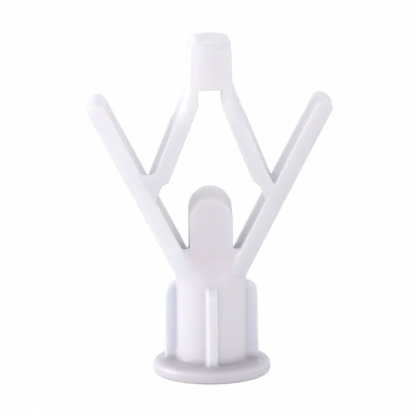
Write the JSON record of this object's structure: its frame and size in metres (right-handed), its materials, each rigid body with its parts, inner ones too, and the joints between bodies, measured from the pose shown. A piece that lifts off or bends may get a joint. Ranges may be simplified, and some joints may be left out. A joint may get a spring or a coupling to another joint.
{
  "type": "winged drywall anchor",
  "caption": "One-piece plastic cavity wall anchor: round flange, finned barrel, two spread wings, and links that join them to a screw-holding tip.",
  "frame": {"origin": "centre of the flange's outer face, the face that the anchor stands on", "axes": "+Z along the screw's axis from the flange to the tip, X in the plane in which the wings spread, -Y towards the viewer of the picture"},
  "size_m": [0.0278, 0.0132, 0.039],
  "materials": {
    "anchor_body": "moulded natural polypropylene, milky and slightly see-through, with a soft sheen"
  },
  "bodies": {
    "root": {"anchor_body": "anchor_body"}
  },
  "joints": []
}
